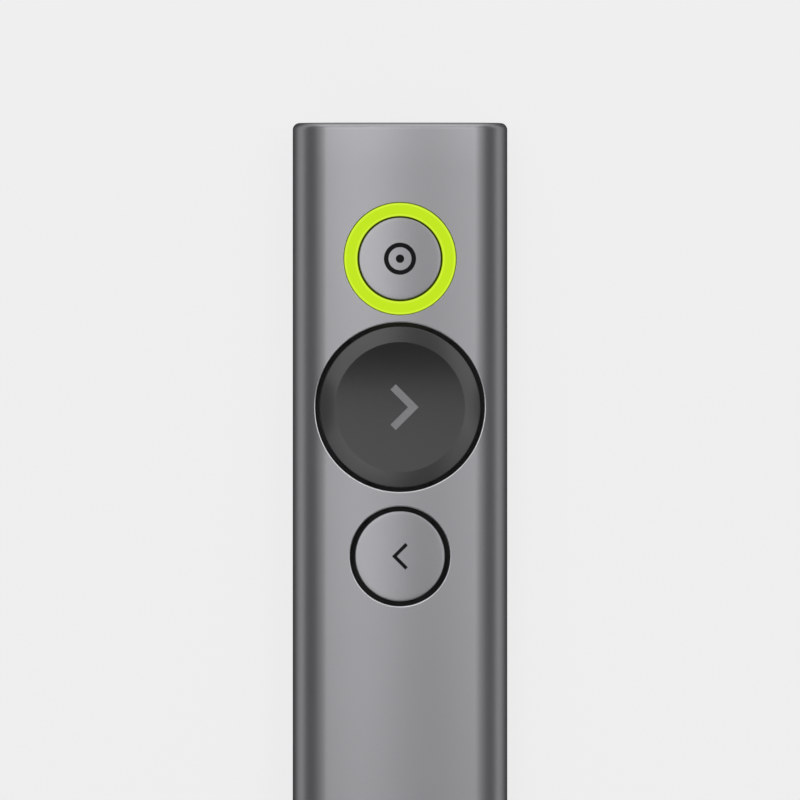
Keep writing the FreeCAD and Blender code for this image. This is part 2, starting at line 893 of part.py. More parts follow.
def motor_leads():
    """The motor's two thin wires, bent down to their pads on the board."""
    wires = []
    start_z = motor_z - motor_wire_drop / 2
    for side in (-1, 1):
        x = side * motor_wire_spread / 2
        points = [
            V(x, motor_rear, start_z),
            V(x, motor_rear - motor_wire_out, start_z),
            V(x, motor_rear - motor_wire_out - motor_wire_drop, board_top + motor_wire_radius),
            V(x, motor_rear - 2 * motor_wire_out - motor_wire_drop, board_top + motor_wire_radius),
        ]
        wires.append(lead(points, motor_wire_radius))
    return group(wires)


def screw(x, y, seat):
    """A small slotted screw whose head sits on seat."""
    shank = upright(screw_shank_radius, x, y, screw_tip, seat)
    head = upright(screw_head_radius, x, y, seat, seat + screw_head_height)
    slot_floor = seat + screw_head_height - screw_slot_depth
    half = screw_slot_width / 2
    slot = block(x - half, x + half, y - far, y + far, slot_floor, seat + screw_head_height + cut_over)
    return fused([shank, head.cut(slot)])


def frame_screws():
    """The four screws through the button frame and the board into the chassis."""
    places = [(side * screw_x, y) for side in (-1, 1) for y in (middle_screw_y, front_screw_y)]
    return group([screw(x, y, frame_top) for x, y in places])


def bay_screws():
    """The two screws through the bay's ears and the board into the chassis."""
    return group([screw(side * screw_x, rear_screw_y, board_top + ear_thickness) for side in (-1, 1)])


def port_shell():
    """The steel shell of the charging port, with wings soldered to the board."""
    shell = rounded_bar(port_width, port_height, port_height / 2, port_face, port_end, board_middle)
    inner_width = port_width - 2 * port_wall
    inner_height = port_height - 2 * port_wall
    y0, y1 = port_face - cut_over, port_end + cut_over
    inner = rounded_bar(inner_width, inner_height, inner_height / 2, y0, y1, board_middle)
    parts = [shell.cut(inner)]
    side_x = port_width / 2
    y0 = port_end - port_wing_length
    for side in (-1, 1):
        x0, x1 = sorted((side * (side_x - port_wing_overlap), side * (side_x + port_wing_width)))
        wing = block(x0, x1, y0, port_end, board_top, board_top + port_wing_thickness)
        parts.append(wing.cut(inner))
    return fused(parts)


def port_tongue():
    """The port's insulating tongue and the block that closes the back of the shell."""
    inner_width = port_width - 2 * port_wall
    inner_height = port_height - 2 * port_wall
    corner = inner_height / 2
    back = rounded_bar(inner_width, inner_height, corner, port_end - port_back, port_end, board_middle)
    half = port_tongue_width / 2
    z0 = board_middle - port_tongue_thickness / 2
    y0 = port_face + port_tongue_inset
    return fused([back, block(-half, half, y0, port_end, z0, z0 + port_tongue_thickness)])


def port_contacts():
    """The port's contacts, in a row on each side of the tongue."""
    strips = []
    y0 = port_face + port_tongue_inset + port_wall
    for number in range(port_contact_count):
        x = (number - (port_contact_count - 1) / 2) * port_contact_pitch
        x0, x1 = x - port_contact_width / 2, x + port_contact_width / 2
        for side in (-1, 1):
            face = board_middle + side * port_tongue_thickness / 2
            z0, z1 = sorted((face, face + side * port_contact_height))
            strips.append(block(x0, x1, y0, y0 + port_contact_length, z0, z1))
    return group(strips)


def receiver_head():
    """The receiver's plastic body, hollow, with a slot in its back for the pull tab."""
    end = receiver_front - plate_thickness
    head = rounded_bar(receiver_width, receiver_height, receiver_corner, receiver_rear, end, receiver_middle)
    head = head.makeFillet(receiver_round, end_edges(head, receiver_rear))
    inner_width = receiver_width - 2 * receiver_wall
    inner_height = receiver_height - 2 * receiver_wall
    inner_corner = receiver_corner - receiver_wall
    start = receiver_rear + receiver_wall
    room = rounded_bar(inner_width, inner_height, inner_corner, start, receiver_front, receiver_middle)
    half = tab_width / 2
    z0, z1 = receiver_middle - tab_thickness / 2, receiver_middle + tab_thickness / 2
    return head.cut(room).cut(block(-half, half, receiver_rear - cut_over, start + cut_over, z0, z1))


def receiver_front_plate():
    """The plate that closes the receiver's body round the plug."""
    y0 = receiver_front - plate_thickness
    plate = rounded_bar(receiver_width, receiver_height, receiver_corner, y0, receiver_front, receiver_middle)
    rear, front = y0 - cut_over, receiver_front + cut_over
    return plate.cut(
        rounded_bar(plug_shell_width, plug_shell_height, plug_shell_corner, rear, front, receiver_middle)
    )


def plug_shell():
    """The receiver's steel plug shell, with its four latch windows."""
    y0 = receiver_front - plug_shell_anchor
    shell = rounded_bar(plug_shell_width, plug_shell_height, plug_shell_corner, y0, plug_tip, receiver_middle)
    inner_width = plug_shell_width - 2 * plug_shell_wall
    inner_height = plug_shell_height - 2 * plug_shell_wall
    inner_corner = plug_shell_corner - plug_shell_wall
    rear, front = y0 - cut_over, plug_tip + cut_over
    shell = shell.cut(rounded_bar(inner_width, inner_height, inner_corner, rear, front, receiver_middle))
    y1 = plug_tip - plug_window_from_tip
    for side in (-1, 1):
        middle = side * plug_window_spread / 2
        x0, x1 = middle - plug_window_width / 2, middle + plug_window_width / 2
        shell = shell.cut(block(x0, x1, y1 - plug_window_length, y1, 0, body_height))
    return shell


def tongue_top():
    """Height of the face of the plug's tongue that carries the contacts."""
    return receiver_middle - plug_shell_height / 2 + plug_shell_wall + tongue_thickness


def plug_tongue():
    """The insulating tongue inside the receiver's plug."""
    half = tongue_width / 2
    z1 = tongue_top()
    y0 = receiver_front - plug_shell_anchor
    return block(-half, half, y0, plug_tip - tongue_inset, z1 - tongue_thickness, z1)


def plug_contacts():
    """The four contacts of the receiver's plug."""
    z0 = tongue_top()
    y1 = plug_tip - tongue_inset - contact_width
    half = contact_width / 2
    return group([
        block(x - half, x + half, y1 - contact_length, y1, z0, z0 + contact_height) for x in contact_places
    ])


def receiver_board():
    """The receiver's own small radio board, with its chip."""
    y1 = receiver_front - plug_shell_anchor
    y0 = y1 - radio_board_length
    z1 = tongue_top()
    half = radio_board_width / 2
    board = block(-half, half, y0, y1, z1 - radio_board_thickness, z1)
    side = radio_part_side / 2
    middle = (y0 + y1) / 2
    chip = block(-side, side, middle - side, middle + side, z1, z1 + radio_part_height)
    return fused([board, chip])


def pull_tab():
    """The rubber tab that draws the receiver out, with grip ribs and an anchor inside the head."""
    half = tab_width / 2
    thick = tab_thickness / 2
    start = receiver_rear + receiver_wall
    end = receiver_rear - tab_length
    low, high = receiver_middle - thick, receiver_middle + thick
    strap = block(-half, half, end, start, low, high)
    corners = [e for e in edges_along(strap, V(0, 0, 1)) if e.CenterOfMass.y < end + near]
    strap = strap.makeFillet(tab_corner, corners)
    anchor_half = tab_anchor_width / 2
    anchor_top = receiver_middle + receiver_height / 2 - receiver_wall - receiver_gap
    anchor = block(-anchor_half, anchor_half, start, start + tab_anchor_thickness, low, anchor_top)
    parts = [strap, anchor]
    for number in range(tab_rib_count):
        y = end + tab_rib_from_end + number * tab_rib_pitch
        rib_half = half - tab_rib_inset
        z0, z1 = low - tab_rib_height, high + tab_rib_height
        parts.append(block(-rib_half, rib_half, y, y + tab_rib_width, z0, z1))
    return fused(parts)


def battery_pad_sheet():
    """The sticky foam under the cell."""
    half = battery_width / 2 - battery_round
    return block(-half, half, battery_rear, battery_front, floor_top, battery_under)


pointer_blank = cap_blank(pointer_y, pointer_cap_radius)
next_blank = next_cap_blank()
back_blank = cap_blank(back_y, back_cap_radius)
next_ceiling = wall_ceiling(next_y)
back_ceiling = wall_ceiling(back_y)
chip_side = power_chip_side

nodes = {
    "housing_tube": housing_tube(),
    "front_cap": front_cap(),
    "rear_bezel": rear_bezel(),
    "inner_chassis": inner_chassis(),
    "receiver_bay": receiver_bay(),
    "button_frame": button_frame(),
    "pointer_light_ring": pointer_light_ring(),
    "pointer_button_cap": pointer_blank.cut(pointer_tool()),
    "pointer_button_mark": pointer_blank.common(pointer_tool()),
    "pointer_button_carrier": carrier(
        pointer_y, pointer_cap_radius, ring_inner, small_post_radius, ring_ceiling(pointer_y), False
    ),
    "next_button_cap": next_blank.cut(next_tool()),
    "next_button_mark": next_blank.common(next_tool()),
    "next_button_carrier": carrier(next_y, next_cap_radius, next_hole, next_post_radius, next_ceiling, True),
    "back_button_cap": back_blank.cut(back_tool()),
    "back_button_mark": back_blank.common(back_tool()),
    "back_button_carrier": carrier(back_y, back_cap_radius, back_hole, small_post_radius, back_ceiling, True),
    "main_board": main_board(),
    "radio_chip": under_board(0, next_y, radio_chip_side, radio_chip_side, radio_chip_height),
    "radio_shield": radio_shield(),
    "motion_sensor": under_board(-board_half / 2, next_y, sensor_width, sensor_length, sensor_height),
    "crystal": under_board(board_half / 2, next_y, crystal_width, crystal_length, crystal_height),
    "power_chip": on_board(0, port_end + power_chip_from_port, chip_side, chip_side, power_chip_height),
    "chip_antenna": on_board(0, antenna_y, antenna_width, antenna_length, antenna_height),
    "ring_leds": ring_leds(),
    "board_passives": board_passives(),
    "frame_screws": frame_screws(),
    "bay_screws": bay_screws(),
    "battery_cell": battery_cell(),
    "battery_foam_pad": battery_pad_sheet(),
    "battery_guard_board": battery_guard_board(),
    "battery_lead_red": battery_lead(-1),
    "battery_lead_black": battery_lead(1),
    "battery_plug": battery_plug(),
    "battery_header": battery_header(),
    "motor_can": motor_can(),
    "motor_cradle": motor_cradle(),
    "motor_leads": motor_leads(),
    "motor_shaft": motor_shaft(),
    "motor_weight": motor_weight(),
    "charging_port_shell": port_shell(),
    "charging_port_tongue": port_tongue(),
    "charging_port_contacts": port_contacts(),
    "receiver_head": receiver_head(),
    "receiver_front_plate": receiver_front_plate(),
    "receiver_board": receiver_board(),
    "receiver_plug_shell": plug_shell(),
    "receiver_plug_tongue": plug_tongue(),
    "receiver_plug_contacts": plug_contacts(),
    "receiver_pull_tab": pull_tab(),
}
for button, y in (("pointer", pointer_y), ("next", next_y), ("back", back_y)):
    nodes[button + "_switch_base"] = switch_base(y)
    nodes[button + "_switch_stem"] = switch_stem(y)
    nodes[button + "_switch_dome"] = switch_dome(y)

os.makedirs("parts", exist_ok=True)
for name, shape in nodes.items():
    solids_of(shape).exportStep(os.path.join("parts", name + ".step"))
print(len(nodes), "sub-parts written")
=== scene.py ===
"""The looks of a slim wireless presentation clicker, built around its solid model.

Everything is in metres. X runs across the clicker, +Y points to its front end and +Z points up.
"""

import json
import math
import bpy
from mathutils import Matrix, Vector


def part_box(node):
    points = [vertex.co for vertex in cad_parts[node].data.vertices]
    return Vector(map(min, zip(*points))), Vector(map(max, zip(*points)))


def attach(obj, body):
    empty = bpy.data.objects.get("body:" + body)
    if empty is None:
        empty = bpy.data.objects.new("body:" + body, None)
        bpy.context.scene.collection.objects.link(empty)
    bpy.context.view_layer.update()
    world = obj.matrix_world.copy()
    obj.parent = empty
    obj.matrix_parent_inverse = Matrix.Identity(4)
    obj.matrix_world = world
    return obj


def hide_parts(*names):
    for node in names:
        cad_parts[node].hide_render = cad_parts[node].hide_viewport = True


bl_info = {
    "name": "Presentation Clicker",
    "version": (1, 0, 0),
    "blender": (4, 5, 0),
    "location": "View3D > Sidebar > Clicker",
    "description": "Builds the looks of a slim presentation clicker around its solid model",
    "category": "Add Mesh",
}

import bmesh
import bpy
from bpy.props import FloatProperty, FloatVectorProperty, PointerProperty
from bpy.types import Operator, Panel, PropertyGroup
from mathutils import Vector

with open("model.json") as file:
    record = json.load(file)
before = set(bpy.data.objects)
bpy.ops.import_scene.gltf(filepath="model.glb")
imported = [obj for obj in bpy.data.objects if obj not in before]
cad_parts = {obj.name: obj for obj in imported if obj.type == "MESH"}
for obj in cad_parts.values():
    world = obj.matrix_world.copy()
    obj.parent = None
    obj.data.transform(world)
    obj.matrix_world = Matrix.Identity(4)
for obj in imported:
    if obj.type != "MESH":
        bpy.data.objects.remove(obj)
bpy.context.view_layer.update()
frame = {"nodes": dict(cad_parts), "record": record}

MM = 0.001
TUBE_LOW, TUBE_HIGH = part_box("housing_tube")
FRONT = TUBE_HIGH.y
REAR = TUBE_LOW.y
TOP = TUBE_HIGH.z
HALF_WIDTH = (TUBE_HIGH.x - TUBE_LOW.x) / 2

# How near a point is to count as being in a place, on the crown or on a circle
FINE = 1e-8
ON_CROWN = 0.002 * MM
ON_CIRCLE = 0.01 * MM
SAME_POINT = 0.001 * MM

# Angles between faces, in degrees: flat, smooth up to, and sharp enough to bevel
FLAT_ANGLE = 0.5
SMOOTH_ANGLE = 30
SHARP_ANGLE = 50

# How finely round shapes are divided
CROWN_STEPS = 96
SHOULDER_STEPS = 56
LOWER_STEPS = 32
FOOT_STEPS = 8
RIM_STEPS = 160
ROUND_STEPS = 10
BEVEL_STEPS = 3
RUN_STEP = 5 * MM
RING_STEP = 0.45 * MM

# How far a cutting tool stands above the tube's top
TOOL_CLEAR = 1 * MM


def length(name, default, description):
    """A length that the panel shows in scene units."""
    return FloatProperty(
        name=name, default=default, min=0, unit="LENGTH", precision=5, description=description
    )


def colour(name, default, description):
    """A colour that the panel shows as a swatch."""
    return FloatVectorProperty(
        name=name, default=default, min=0, max=1, size=3, subtype="COLOR", description=description
    )


def amount(name, default, description):
    """A plain number, nothing or more."""
    return FloatProperty(name=name, default=default, min=0, description=description)


class ClickerSizes(PropertyGroup):
    """Sizes of the pieces that are modelled again with a finer surface."""

    crown_radius: length("Crown radius", 60 * MM, "Roundness of the top surface across the clicker")
    foot_width: length("Foot width", 16 * MM, "Width of the flat underside")
    wall: length("Tube wall", 1.2 * MM, "Thickness of the aluminium tube")
    end_round: length("End rounding", 0.9 * MM, "Rounding of the tube's ends")
    inner_break: length("Inner edge break", 0.15 * MM, "Bevel of the tube's inner end edges")
    edge_break: length("Hole edge break", 0.2 * MM, "Polished rounding of the button holes")
    press_gap: length("Press gap", 0.05 * MM, "Gap round the light ring")
    ring_gap: length("Ring gap", 0.14 * MM, "Gap between the pointer button and the light ring")
    next_gap: length("Next gap", 0.5 * MM, "Gap round the next button")
    back_gap: length("Back gap", 0.6 * MM, "Gap round the back button")
    cap_break: length("Cap edge break", 0.15 * MM, "Rounding of the small caps' edges")
    rim_break: length("Rim edge break", 0.14 * MM, "Rounding of the large cap's edge")
    scoop_radius: length("Scoop radius", 8.5 * MM, "Radius of the scooped part of the large cap")
    mark_sink: length("Mark sink", 0.02 * MM, "How far the marks lie below the caps' surfaces")
    ring_round: length("Ring rounding", 0.3 * MM, "Rounding of the light ring's upper edges")
    ring_width: length("Ring width", 1.8 * MM, "Width of the light ring's face")
    ring_depth: length("Ring depth", 1.2 * MM, "Depth of the light ring's collar")
    target_stroke: length("Target stroke", 0.6 * MM, "Line width of the pointer button's ring mark")
    target_dot: length("Target dot", 0.55 * MM, "Radius of the dot in the ring mark")
    next_stroke: length("Next stroke", 1.0 * MM, "Line width of the next button's arrow head")
    back_stroke: length("Back stroke", 0.46 * MM, "Line width of the back button's arrow head")


class ClickerColours(PropertyGroup):
    """Colours of the finishes."""

    metal: colour("Anodised metal", (0.345, 0.343, 0.36), "Dark grey anodised aluminium")
    metal_edge: colour("Polished edge", (0.5, 0.5, 0.52), "Edges where the metal was cut bright")
    plastic: colour("Dark plastic", (0.02, 0.02, 0.0225), "Soft satin plastic of the large button")
    lime: colour("Light ring", (0.54, 0.80, 0.01), "Light that comes through the ring")
    lime_edge: colour("Light ring edge", (0.70, 0.95, 0.05), "Paler light at the ring's edges")
    ink: colour("Dark mark", (0.006, 0.006, 0.008), "Marks of the metal buttons")
    pale_ink: colour("Grey mark", (0.31, 0.31, 0.32), "Mark of the large button")
    floor: colour("Floor", (0.86, 0.86, 0.86), "Pale studio floor")


class ClickerLight(PropertyGroup):
    """How bright the studio is."""

    overhead: amount("Overhead", 1.4, "Brightness of the overhead panels")
    front: amount("Front", 1.3, "Brightness of the panel beyond the front end")
    back: amount("Back", 0.5, "Brightness of the panel beyond the rear end")
    room: amount("Room", 0.18, "Brightness of the dark room round the stage")


def sizes():
    """The sizes set in the panel."""
    return bpy.context.scene.clicker_sizes


def colours():
    """The colours set in the panel."""
    return bpy.context.scene.clicker_colours


# Shader maths

class Socket:
    """A shader socket that can be used in plain arithmetic."""

    def __init__(self, recipe, socket):
        self.recipe = recipe
        self.socket = socket

    def calculate(self, operation, *values):
        """The result of one step of arithmetic."""
        return self.recipe.node("ShaderNodeMath", {"operation": operation}, values)

    def __add__(self, other):
        return self.calculate("ADD", self, other)

    def __sub__(self, other):
        return self.calculate("SUBTRACT", self, other)

    def __mul__(self, other):
        return self.calculate("MULTIPLY", self, other)

    def __truediv__(self, other):
        return self.calculate("DIVIDE", self, other)

    def __rsub__(self, other):
        return self.calculate("SUBTRACT", other, self)

    def __abs__(self):
        return self.calculate("ABSOLUTE", self)

    __radd__ = __add__
    __rmul__ = __mul__


class Recipe:
    """Builds one material's nodes."""

    def __init__(self, name):
        self.material = bpy.data.materials.new(name)
        self.material.use_nodes = True
        self.tree = self.material.node_tree
        self.tree.nodes.clear()
        self.output = self.tree.nodes.new("ShaderNodeOutputMaterial")

    def node(self, kind, settings=None, values=(), result=0):
        """A node with its settings made first, then its sockets fed with values or links."""
        node = self.tree.nodes.new(kind)
        for name, value in (settings or {}).items():
            if name == "stops":
                self.set_stops(node, value)
            else:
                setattr(node, name, value)
        pairs = values.items() if isinstance(values, dict) else enumerate(values)
        for key, value in pairs:
            if isinstance(value, Socket):
                self.tree.links.new(value.socket, node.inputs[key])
            else:
                node.inputs[key].default_value = value
        return Socket(self, node.outputs[result])

    def set_stops(self, node, stops):
        """The colour stops of a ramp."""
        elements = node.color_ramp.elements
        while len(elements) < len(stops):
            elements.new(1.0)
        for element, (place, value) in zip(elements, stops):
            element.position = place
            element.color = (*value, 1)

    def place(self):
        """Where a point of the piece is, in metres."""
        return self.node("ShaderNodeTexCoord", result="Object")

    def noise(self, scale, detail=3.0, roughness=0.5, stretch=(1, 1, 1)):
        """Noise of about one at its top, with features of one over scale metres."""
        spot = self.node("ShaderNodeMapping", {}, {"Vector": self.place(), "Scale": stretch})
        values = {"Vector": spot, "Scale": scale, "Detail": detail, "Roughness": roughness}
        return self.node("ShaderNodeTexNoise", {}, values)

    def blend(self, factor, first, second):
        """A colour between two."""
        settings = {"data_type": "RGBA"}
        pair = [value if isinstance(value, Socket) else (*value, 1) for value in (first, second)]
        return self.node("ShaderNodeMix", settings, {"Factor": factor, 6: pair[0], 7: pair[1]}, result=2)

    def bump(self, height, depth, strength=1.0):
        """A normal from a height of zero to one, as deep as depth metres."""
        return self.node("ShaderNodeBump", {}, {"Strength": strength, "Distance": depth, "Height": height})

    def surface(self, **inputs):
        """The material's principled surface."""
        renamed = {"specular_level": "Specular IOR Level"}
        values = {renamed.get(name, name.replace("_", " ").title()): value for name, value in inputs.items()}
        for name, value in values.items():
            if isinstance(value, (tuple, list)) and len(value) == 3:
                values[name] = (*value, 1)
        shader = self.node("ShaderNodeBsdfPrincipled", {}, values, result="BSDF")
        self.tree.links.new(shader.socket, self.output.inputs["Surface"])
        return self.material


def shade(colour_value, factor):
    """A colour made darker or lighter."""
    return tuple(min(1.0, channel * factor) for channel in colour_value)


def anodised(name, base, roughness=0.36):
    """Bead-blasted and anodised aluminium: an even satin with a grain that is finer than a hair."""
    recipe = Recipe(name)
    grain = recipe.noise(6500.0, detail=2.0)
    cloud = recipe.noise(60.0, detail=4.0)
    tint = recipe.blend(grain * 0.5 + cloud * 0.5, shade(base, 0.94), shade(base, 1.06))
    return recipe.surface(
        base_color=tint,
        metallic=1.0,
        roughness=roughness - 0.03 + cloud * 0.06,
        normal=recipe.bump(grain, 0.004 * MM, 0.35),
    )


def bright_cut(name, base):
    """Bare edges cut by a diamond tool, nearly a mirror."""
    recipe = Recipe(name)
    lines = recipe.noise(4000.0, detail=1.0, stretch=(0.2, 0.2, 4.0))
    tint = recipe.blend(lines, shade(base, 0.9), shade(base, 1.1))
    return recipe.surface(base_color=tint, metallic=1.0, roughness=0.2 + lines * 0.06)


def moulded(name, base, roughness=0.45, gloss=0.5):
    """Plastic from a spark-eroded mould: a fine even pebble, a little smoother where it is handled."""
    recipe = Recipe(name)
    pebble = recipe.noise(5200.0, detail=3.0)
    handled = recipe.noise(140.0, detail=2.0)
    tint = recipe.blend(pebble * 0.6 + handled * 0.4, shade(base, 0.9), shade(base, 1.1))
    return recipe.surface(
        base_color=tint,
        roughness=roughness - 0.04 + handled * 0.08,
        specular_level=gloss,
        normal=recipe.bump(pebble, 0.006 * MM, 0.4),
    )


def light_guide(name, centre, inner, outer, core, edge):
    """Frosted acrylic lit from below, a little paler at its edges, with painted shade in its glow where it
    meets its seat.
    """
    recipe = Recipe(name)
    flat = recipe.node("ShaderNodeVectorMath", {"operation": "MULTIPLY"}, [recipe.place(), (1, 1, 0)])
    ends = [flat, (centre.x, centre.y, 0)]
    away = recipe.node("ShaderNodeVectorMath", {"operation": "DISTANCE"}, ends, result="Value")
    across = abs((away - inner) / (outer - inner) - 0.5) * 2
    # The last two stops paint shade into the glow at the ring's inner and outer edges, where it meets its
    # seat.
    stops = [(0.0, core), (0.55, core), (0.86, edge), (0.95, shade(core, 0.6)), (1.0, shade(core, 0.14))]
    tint = recipe.node("ShaderNodeValToRGB", {"stops": stops}, [across])
    frost = recipe.noise(5000.0, detail=2.0)
    return recipe.surface(
        base_color=shade(core, 0.06),
        roughness=0.45,
        specular_level=0.12,
        emission_color=recipe.blend(frost * 0.08, tint, shade(core, 0.9)),
        emission_strength=0.96,
        normal=recipe.bump(frost, 0.004 * MM, 0.3),
    )


def brushed(name, base, roughness=0.3, direction=(0.02, 1, 1)):
    """Rolled or brushed metal with fine lines along one way."""
    recipe = Recipe(name)
    lines = recipe.noise(5000.0, detail=3.0, stretch=direction)
    stain = recipe.noise(200.0, detail=3.0)
    tint = recipe.blend(lines * 0.5 + stain * 0.5, shade(base, 0.85), shade(base, 1.12))
    return recipe.surface(
        base_color=tint,
        metallic=1.0,
        roughness=roughness - 0.06 + lines * 0.12,
        normal=recipe.bump(lines, 0.003 * MM, 0.5),
    )


def rubbery(name, base, roughness=0.62):
    """Silicone or rubber with a dusty, skin-like surface."""
    recipe = Recipe(name)
    skin = recipe.noise(3000.0, detail=4.0, roughness=0.6)
    dust = recipe.noise(250.0, detail=4.0)
    tint = recipe.blend(dust, shade(base, 0.85), shade(base, 1.35))
    return recipe.surface(
        base_color=tint,
        roughness=roughness + dust * 0.12,
        specular_level=0.35,
        normal=recipe.bump(skin, 0.01 * MM, 0.5),
    )


def printed(name, base):
    """Matt ink with the faint mottle of a pad print."""
    recipe = Recipe(name)
    mottle = recipe.noise(2500.0, detail=3.0)
    tint = recipe.blend(mottle, shade(base, 0.85), shade(base, 1.15))
    return recipe.surface(
        base_color=tint,
        roughness=0.6 + mottle * 0.1,
        specular_level=0.15,
        normal=recipe.bump(mottle, 0.004 * MM, 0.4),
    )


def solder_mask(name, base):
    """A circuit board's lacquer over its tracks."""
    recipe = Recipe(name)
    pattern = {"Vector": recipe.place(), "Scale": 900.0}
    tracks = recipe.node("ShaderNodeTexVoronoi", {"distance": "MANHATTAN"}, pattern)
    lines = recipe.node("ShaderNodeMath", {"operation": "LESS_THAN"}, [tracks, 0.35])
    tint = recipe.blend(lines, base, shade(base, 1.7))
    return recipe.surface(base_color=tint, roughness=0.32, normal=recipe.bump(lines, 0.02 * MM, 0.5))


def crinkled_foil(name, base):
    """The laminated foil of a pouch cell."""
    recipe = Recipe(name)
    folds = recipe.noise(700.0, detail=5.0, roughness=0.55)
    tint = recipe.blend(folds, shade(base, 0.9), shade(base, 1.1))
    return recipe.surface(
        base_color=tint,
        metallic=0.85,
        roughness=0.32 + folds * 0.12,
        normal=recipe.bump(folds, 0.08 * MM, 0.6),
    )


# Modelling

def only(*pieces):
    """These pieces alone selected, the first of them active."""
    if bpy.context.mode != "OBJECT":
        bpy.ops.object.mode_set(mode="OBJECT")
    bpy.ops.object.select_all(action="DESELECT")
    for piece in pieces:
        piece.select_set(True)
    bpy.context.view_layer.objects.active = pieces[0]


def section_shape():
    """Height of the section's widest place, its shoulder's radius, and the angle where its crown starts."""
    crown = sizes().crown_radius
    side = HALF_WIDTH - sizes().foot_width / 2
    rise = side - (TOP - crown)
    shoulder = (crown ** 2 - HALF_WIDTH ** 2 - rise ** 2) / (2 * (crown - HALF_WIDTH))
    return side, shoulder, math.atan2(rise, HALF_WIDTH - shoulder)


def section_ring(inset, y):
    """Points round the tube's cross-section at y, drawn in by inset, anticlockwise seen from the rear."""
    size = sizes()
    side, shoulder, lean = section_shape()
    half_foot = size.foot_width / 2
    shoulder_x = HALF_WIDTH - shoulder
    quarter = math.pi / 2
    arcs = [
        (half_foot, side, side, -quarter, 0, LOWER_STEPS),
        (shoulder_x, side, shoulder, 0, lean, SHOULDER_STEPS),
        (0, TOP - size.crown_radius, size.crown_radius, lean, math.pi - lean, CROWN_STEPS),
        (-shoulder_x, side, shoulder, math.pi - lean, math.pi, SHOULDER_STEPS),
        (-half_foot, side, side, math.pi, 3 * quarter, LOWER_STEPS),
    ]
    points = []
    for x, z, radius, start, end, steps in arcs:
        for step in range(steps):
            angle = start + (end - start) * step / steps
            reach = radius - inset
            points.append(Vector((x + reach * math.cos(angle), y, z + reach * math.sin(angle))))
    for step in range(FOOT_STEPS):
        x = -half_foot + size.foot_width * step / FOOT_STEPS
        points.append(Vector((x, y, inset)))
    return points


def crown_height(x):
    """Height of the tube's top surface at x."""
    side, shoulder, lean = section_shape()
    crown = sizes().crown_radius
    if abs(x) <= crown * math.cos(lean):
        return TOP - crown + math.sqrt(crown ** 2 - x ** 2)
    across = min(abs(x) - HALF_WIDTH + shoulder, shoulder)
    return side + math.sqrt(shoulder ** 2 - across ** 2)


def lay_on_crown(piece):
    """Lowers each point as much as the tube's top surface falls there, so a flat piece follows it."""
    for vertex in piece.data.vertices:
        vertex.co.z += crown_height(vertex.co.x) - TOP


def place_selected(piece, points):
    """Puts the selected vertices of an open ring on points, in the ring's order."""
    mesh = bmesh.from_edit_mesh(piece.data)
    ring = sorted((v for v in mesh.verts if v.select), key=lambda v: v.index)
    for vertex, point in zip(ring, points):
        vertex.co = point
    bmesh.update_edit_mesh(piece.data)


def sleeve(name, profile):
    """The tube's outline extruded from ring to ring, each at its y and drawn in by its inset."""
    rings = [section_ring(inset, y) for y, inset in profile]
    bpy.ops.mesh.primitive_circle_add(vertices=len(rings[0]), radius=HALF_WIDTH, enter_editmode=True)
    piece = bpy.context.object
    piece.name = name
    place_selected(piece, rings[0])
    for ring in rings[1:]:
        bpy.ops.mesh.extrude_region_move()
        place_selected(piece, ring)
    return piece


def join_ends():
    """Bridges the edited piece's first and last rings."""
    bpy.ops.mesh.select_all(action="SELECT")
    bpy.ops.mesh.select_non_manifold(extend=False)
    bpy.ops.mesh.bridge_edge_loops()


def finish_editing():
    """Turns the edited piece's faces outwards and ends its editing."""
    bpy.ops.mesh.select_all(action="SELECT")
    bpy.ops.mesh.normals_make_consistent(inside=False)
    bpy.ops.object.mode_set(mode="OBJECT")


def turned(name, centre, profile, closed=False):
    """A round piece: a circle extruded ring by ring along a profile of radii and heights."""
    (radius, height), *rest = profile
    bpy.ops.mesh.primitive_circle_add(
        vertices=RIM_STEPS, radius=radius, enter_editmode=True, fill_type="NOTHING" if closed else "NGON"
    )
    piece = bpy.context.object
    piece.name = name
    bpy.ops.transform.translate(value=(centre.x, centre.y, height))
    if not closed:
        bpy.ops.mesh.select_all(action="SELECT")
        bpy.ops.mesh.region_to_loop()
    for next_radius, next_height in rest:
        bpy.ops.mesh.extrude_edges_move(TRANSFORM_OT_translate={"value": (0, 0, next_height - height)})
        if next_radius < FINE:
            bpy.ops.mesh.merge(type="CENTER")
        else:
            share = next_radius / radius
            middle = (centre.x, centre.y, next_height)
            bpy.ops.transform.resize(value=(share, share, 1), center_override=middle)
        radius, height = next_radius, next_height
    if closed:
        join_ends()
    finish_editing()
    return piece


def rounding(radius, height, size, inward=True):
    """Profile points of a quarter round from an upright wall to radius and height, turning in or out."""
    points = []
    way = 1 if inward else -1
    for step in range(ROUND_STEPS + 1):
        angle = math.pi / 2 * step / ROUND_STEPS
        points.append((radius + way * size * math.cos(angle), height - size + size * math.sin(angle)))
    return points


def rings_inward(radius, height):
    """Profile points of a flat top, from radius in to the centre."""
    count = max(2, round(radius / RING_STEP))
    return [(radius * (1 - step / count), height) for step in range(1, count + 1)]


def combine(piece, tool, operation, keep=False):
    """Cuts a piece with a tool, or keeps what they share."""
    only(piece)
    bpy.ops.object.modifier_add(type="BOOLEAN")
    modifier = piece.modifiers[-1]
    modifier.operation = operation
    modifier.solver = "EXACT"
    modifier.material_mode = "TRANSFER"
    modifier.object = tool
    bpy.ops.object.modifier_apply(modifier=modifier.name)
    if not keep:
        bpy.data.objects.remove(tool, do_unlink=True)


def smooth(piece):
    """Smooth shading that keeps sharp edges."""
    only(piece)
    bpy.ops.object.shade_smooth_by_angle(angle=math.radians(SMOOTH_ANGLE))


